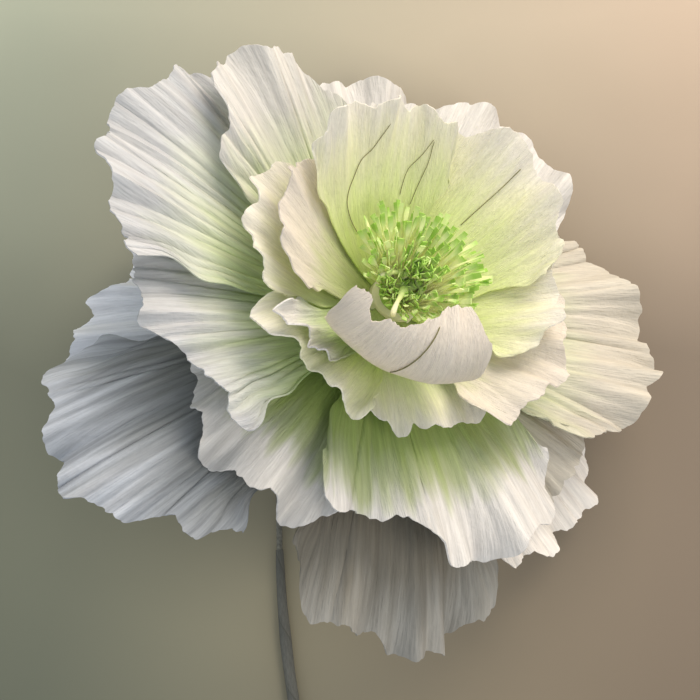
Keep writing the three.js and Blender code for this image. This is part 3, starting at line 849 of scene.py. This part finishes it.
def make_carpels():
    """Three swollen pods that lean out, each with a curled tip."""
    spacing = (CARPEL_RADIUS + SEAT_GAP) / math.sin(math.pi / CARPELS)
    low = NECK_HEIGHT + SEAT_GAP
    for index in range(CARPELS):
        azimuth = 2 * math.pi * index / CARPELS
        out = np.array([math.cos(azimuth), math.sin(azimuth), 0])
        across = np.array([-math.sin(azimuth), math.cos(azimuth), 0])
        root = out * spacing + np.array([0, 0, low])
        side = math.radians(OPEN_SIDE)
        lean = 0.9 * out + 1.6 * np.array([math.cos(side), math.sin(side), 0])
        tall = POD_HEIGHT * np.array([0, 0, 1.0])
        corners = [
            root,
            root + 0.35 * tall + 0.3 * lean,
            root + 0.68 * tall + 1.1 * lean,
            root + 0.92 * tall + 2.2 * lean,
            root + tall + 3.3 * lean + 0.3 * across,
            root + 0.93 * tall + 4.2 * lean + 0.9 * across,
            root + 0.8 * tall + 4.3 * lean + 1.5 * across,
        ]
        radii = [0.75, 1.15, 1.3, 1.25, 1.0, 0.65, 0.5, 0.6, 0.72, 0.62, 0.3]
        pod = make_tube(f"pod_{index + 1}", smooth_line(corners, 60), round_ends(radii), 20, 46, HEAD)
        finish_piece(pod, f"carpel_{index + 1}", pod_paper())


def make_core():
    """The bud of wound paper with its neck, as a tube whose radius steps at the underside, lip and neck."""
    bottom = -(len(PETALS) - 1) * PETAL_STEP - CORE_LIP
    heights = [bottom, bottom, CORE_LIP, CORE_LIP, NECK_HEIGHT, NECK_HEIGHT]
    radii = [0.0, CORE_RADIUS, CORE_RADIUS, NECK_RADIUS, NECK_RADIUS, 0.0]
    path = np.stack([np.zeros(121), np.zeros(121), np.linspace(bottom, NECK_HEIGHT, 121)], -1)
    shares = (np.array(heights) - bottom) / (NECK_HEIGHT - bottom)
    # A tube has one radius at each place along it, so each step in radius takes a short way along
    shares = shares + np.array([0, 0.002, 0, 0.01, 0, 0.002]) - np.array([0, 0, 0, 0, 0.002, 0])
    full = np.interp(np.linspace(0, 1, 400), np.clip(shares, 0, 1), radii)
    full[0] = full[-1] = 0
    core = make_tube("core_bud", path, full, 48, 160, HEAD, ridge=0.12, pitch=2.2)
    finish_piece(core, "core", pod_paper())


def stem_paths():
    """The wire's path and the wrapped part of it, in the row frame in millimetres."""
    head = np.array(HEAD)
    offset = np.array(DRAWING_ORIGIN) / MM
    bottom = -(len(PETALS) - 1) * PETAL_STEP - CORE_LIP

    def on_axis(height):
        return head[:3, 3] / MM + head[:3, 2] / MM * height

    def on_table(place):
        return np.array([place[0] + offset[0], place[1] + offset[1], WRAP_RADIUS])

    top = on_axis(bottom + 4)
    bend = on_axis(bottom - SEAT_GAP - BINDING_LENGTH - STRAIGHT_UNDER_BINDING)
    down = (bend - top) / np.linalg.norm(bend - top)
    landing, wrap_start = on_table(LANDING), on_table(WRAP_START)
    handles = [bend, bend + 14 * down, landing - 1.6 * (wrap_start - landing), landing]
    t = np.linspace(0, 1, 60)[:, None]
    cubic = ((1 - t) ** 3 * handles[0] + 3 * t * (1 - t) ** 2 * handles[1] + 3 * t ** 2 * (1 - t) * handles[2]
             + t ** 3 * handles[3])
    wrapped = (1 - t) ** 2 * wrap_start + 2 * t * (1 - t) * on_table(STEM_BOW) + t ** 2 * on_table(STEM_END)
    flat = np.linspace(landing, wrap_start, 12)
    wire = np.vstack([np.linspace(top, bend, 20)[:-1], cubic[:-1], flat[:-1], wrapped])
    return evenly(wire, 300), evenly(wrapped, 200)


def evenly(path, count):
    """The same path as count points at even distances."""
    lengths = np.concatenate([[0], np.cumsum(np.linalg.norm(np.diff(path, axis=0), axis=1))])
    spots = np.linspace(0, lengths[-1], count)
    return np.stack([np.interp(spots, lengths, path[:, k]) for k in range(3)], -1)


def make_stem():
    """The taped wire, the strip wound round its lower part and the binding under the petals."""
    wire, wrapped = stem_paths()
    row = Matrix.Scale(MM, 4)
    radii = round_ends([WIRE_RADIUS] * 2, count=400)
    piece = make_tube("taped_wire", wire, radii, 20, 260, row, ridge=0.05, pitch=5.0)
    finish_piece(piece, "stem_wire", wire_tape())
    # The strip is wound a little unevenly, and it is thinner where it starts
    radii = WRAP_RADIUS - 0.12 + 0.04 * np.sin(np.linspace(0, 23, 400))
    radii *= np.interp(np.linspace(0, 1, 400), (0, 0.06, 0.35, 1), (0.62, 0.72, 1, 1))
    radii[0] = radii[-1] = 0
    piece = make_tube("wound_strip", wrapped, radii, 32, 240, row, ridge=0.03, pitch=17.0)
    finish_piece(piece, "stem_wrap", stem_strip())
    bottom = -(len(PETALS) - 1) * PETAL_STEP - CORE_LIP - SEAT_GAP
    path = np.stack([np.zeros(60), np.zeros(60), np.linspace(bottom - BINDING_LENGTH, bottom, 60)], -1)
    radii = np.interp(np.linspace(0, 1, 200), (0, 0.35, 0.7, 1), (1.8, 2.6, 3.6, 5.7))
    radii[0] = radii[-1] = 0
    piece = make_tube("wound_binding", path, radii, 40, 120, HEAD, ridge=0.2, pitch=2.6)
    finish_piece(piece, "stem_binding", stem_strip())


def thread_on(name, petal_name, corners, radius, side):
    """A fine thread that lies on one face of a petal, through places (across, along) on it."""
    order = ORDER[petal_name]
    petal = PETALS[order]
    line = smooth_line([(across, along, 0) for across, along in corners], 60)
    u, v = line[:, 0], line[:, 1]
    points, _ = petal_surface(u, v, petal, order)
    nearby, _ = petal_surface(u + 0.01, v, petal, order)
    further, _ = petal_surface(u, v + 0.01, petal, order)
    normal = np.cross(further - points, nearby - points)
    normal *= side / np.linalg.norm(normal, axis=1)[:, None]
    path = smooth_line((points + normal * (radius + THREAD_CLEARANCE))[::6], 60)
    piece = make_tube(name, path, round_ends([radius] * 2), 8, 50, HEAD)
    finish_piece(piece, None, thread_material())


class PEONY_OT_cup_petals(Operator):
    """Make the petals of the cup round the stamens"""

    bl_idname = "peony.cup_petals"
    bl_label = "Cup petals"

    def execute(self, context):
        whorl("cup_petal")
        return {"FINISHED"}


class PEONY_OT_inner_petals(Operator):
    """Make the small petals just outside the cup"""

    bl_idname = "peony.inner_petals"
    bl_label = "Inner petals"

    def execute(self, context):
        whorl("inner_petal")
        make_petal(OFFCUT, context.scene.peony_paper)
        return {"FINISHED"}


class PEONY_OT_middle_petals(Operator):
    """Make the large pleated petals"""

    bl_idname = "peony.middle_petals"
    bl_label = "Middle petals"

    def execute(self, context):
        whorl("middle_petal")
        return {"FINISHED"}


class PEONY_OT_outer_petals(Operator):
    """Make the drooping petals at the back"""

    bl_idname = "peony.outer_petals"
    bl_label = "Outer petals"

    def execute(self, context):
        whorl("outer_petal")
        return {"FINISHED"}


class PEONY_OT_heart(Operator):
    """Make the stamen fringes, the carpels and the core"""

    bl_idname = "peony.heart"
    bl_label = "Heart"

    def execute(self, context):
        inner = NECK_RADIUS + SEAT_GAP
        outer = inner + PAPER + SEAT_GAP
        make_fringe("stamen_fringe_inner", inner, count=180, lengths=(10, 15), lifts=(80, 124), seed=11)
        make_fringe("stamen_fringe_outer", outer, count=310, lengths=(12, 18), lifts=(34, 78), seed=12)
        make_carpels()
        make_core()
        return {"FINISHED"}


class PEONY_OT_stem(Operator):
    """Make the taped wire, the wound strip and the binding under the petals"""

    bl_idname = "peony.stem"
    bl_label = "Stem"

    def execute(self, context):
        make_stem()
        return {"FINISHED"}


class PEONY_OT_threads(Operator):
    """Lay the fine threads on the cup petals"""

    bl_idname = "peony.threads"
    bl_label = "Threads"

    def execute(self, context):
        for count, thread in enumerate(THREADS, 1):
            thread_on(f"thread_{count}", *thread)
        return {"FINISHED"}


class PEONY_OT_stage(Operator):
    """Set the camera, the table, the lights and the world"""

    bl_idname = "peony.stage"
    bl_label = "Stage"

    def execute(self, context):
        settings = context.scene.peony_stage
        make_camera(DRAWING_ORIGIN, settings)
        make_floor()
        make_lights(DRAWING_ORIGIN, settings)
        return {"FINISHED"}


def make_camera(aim, settings):
    deselect()
    bpy.ops.object.camera_add(location=(aim.x, aim.y, settings.camera_height), rotation=(0, 0, 0))
    camera = bpy.context.object
    camera.name = "camera"
    camera.data.lens = settings.lens
    bpy.context.scene.camera = camera


def make_floor():
    deselect()
    bpy.ops.mesh.primitive_plane_add(size=TABLE_SIDE, location=(0, 0, 0))
    floor = bpy.context.object
    floor.name = "table"
    floor.data.materials.append(table_top())


def make_lights(aim, settings):
    def softbox(name, place, side, power, colour):
        deselect()
        target = aim + Vector((0, 0, AIM_HEIGHT))
        where = aim + Vector(place)
        bpy.ops.object.light_add(type="AREA", location=where)
        lamp = bpy.context.object
        lamp.name = name
        lamp.data.size = side
        lamp.data.energy = power
        lamp.data.color = colour
        lamp.rotation_euler = (where - target).to_track_quat("Z", "Y").to_euler()

    softbox("key", KEY_PLACE, KEY_SIDE, settings.key, settings.key_colour)
    softbox("fill", FILL_PLACE, FILL_SIDE, settings.key * FILL_SHARE, settings.fill_colour)
    world = bpy.context.scene.world or bpy.data.worlds.new("world")
    bpy.context.scene.world = world
    world.use_nodes = True
    background = world.node_tree.nodes["Background"]
    background.inputs["Color"].default_value = settings.sky_colour
    background.inputs["Strength"].default_value = SKY_STRENGTH
    bpy.context.scene.view_settings.view_transform = "Standard"


class PEONY_PT_panel(Panel):
    bl_label = "Crepe Paper Peony"
    bl_idname = "PEONY_PT_panel"
    bl_space_type = "VIEW_3D"
    bl_region_type = "UI"
    bl_category = "Peony"

    def draw(self, context):
        for operator in OPERATORS:
            self.layout.operator(operator.bl_idname)


OPERATORS = (
    PEONY_OT_cup_petals,
    PEONY_OT_inner_petals,
    PEONY_OT_middle_petals,
    PEONY_OT_outer_petals,
    PEONY_OT_heart,
    PEONY_OT_stem,
    PEONY_OT_threads,
    PEONY_OT_stage,
)
GROUPS = (PeonyPaper, PeonyStage)


def register():
    for group in GROUPS + OPERATORS + (PEONY_PT_panel,):
        bpy.utils.register_class(group)
    Scene.peony_paper = PointerProperty(type=PeonyPaper)
    Scene.peony_stage = PointerProperty(type=PeonyStage)


def unregister():
    del Scene.peony_stage
    del Scene.peony_paper
    for group in reversed(GROUPS + OPERATORS + (PEONY_PT_panel,)):
        bpy.utils.unregister_class(group)


def main():
    register()
    bpy.ops.peony.stage()
    bpy.ops.peony.cup_petals()
    bpy.ops.peony.inner_petals()
    bpy.ops.peony.middle_petals()
    bpy.ops.peony.outer_petals()
    bpy.ops.peony.heart()
    bpy.ops.peony.stem()
    bpy.ops.peony.threads()


if __name__ == "__main__":
    main()
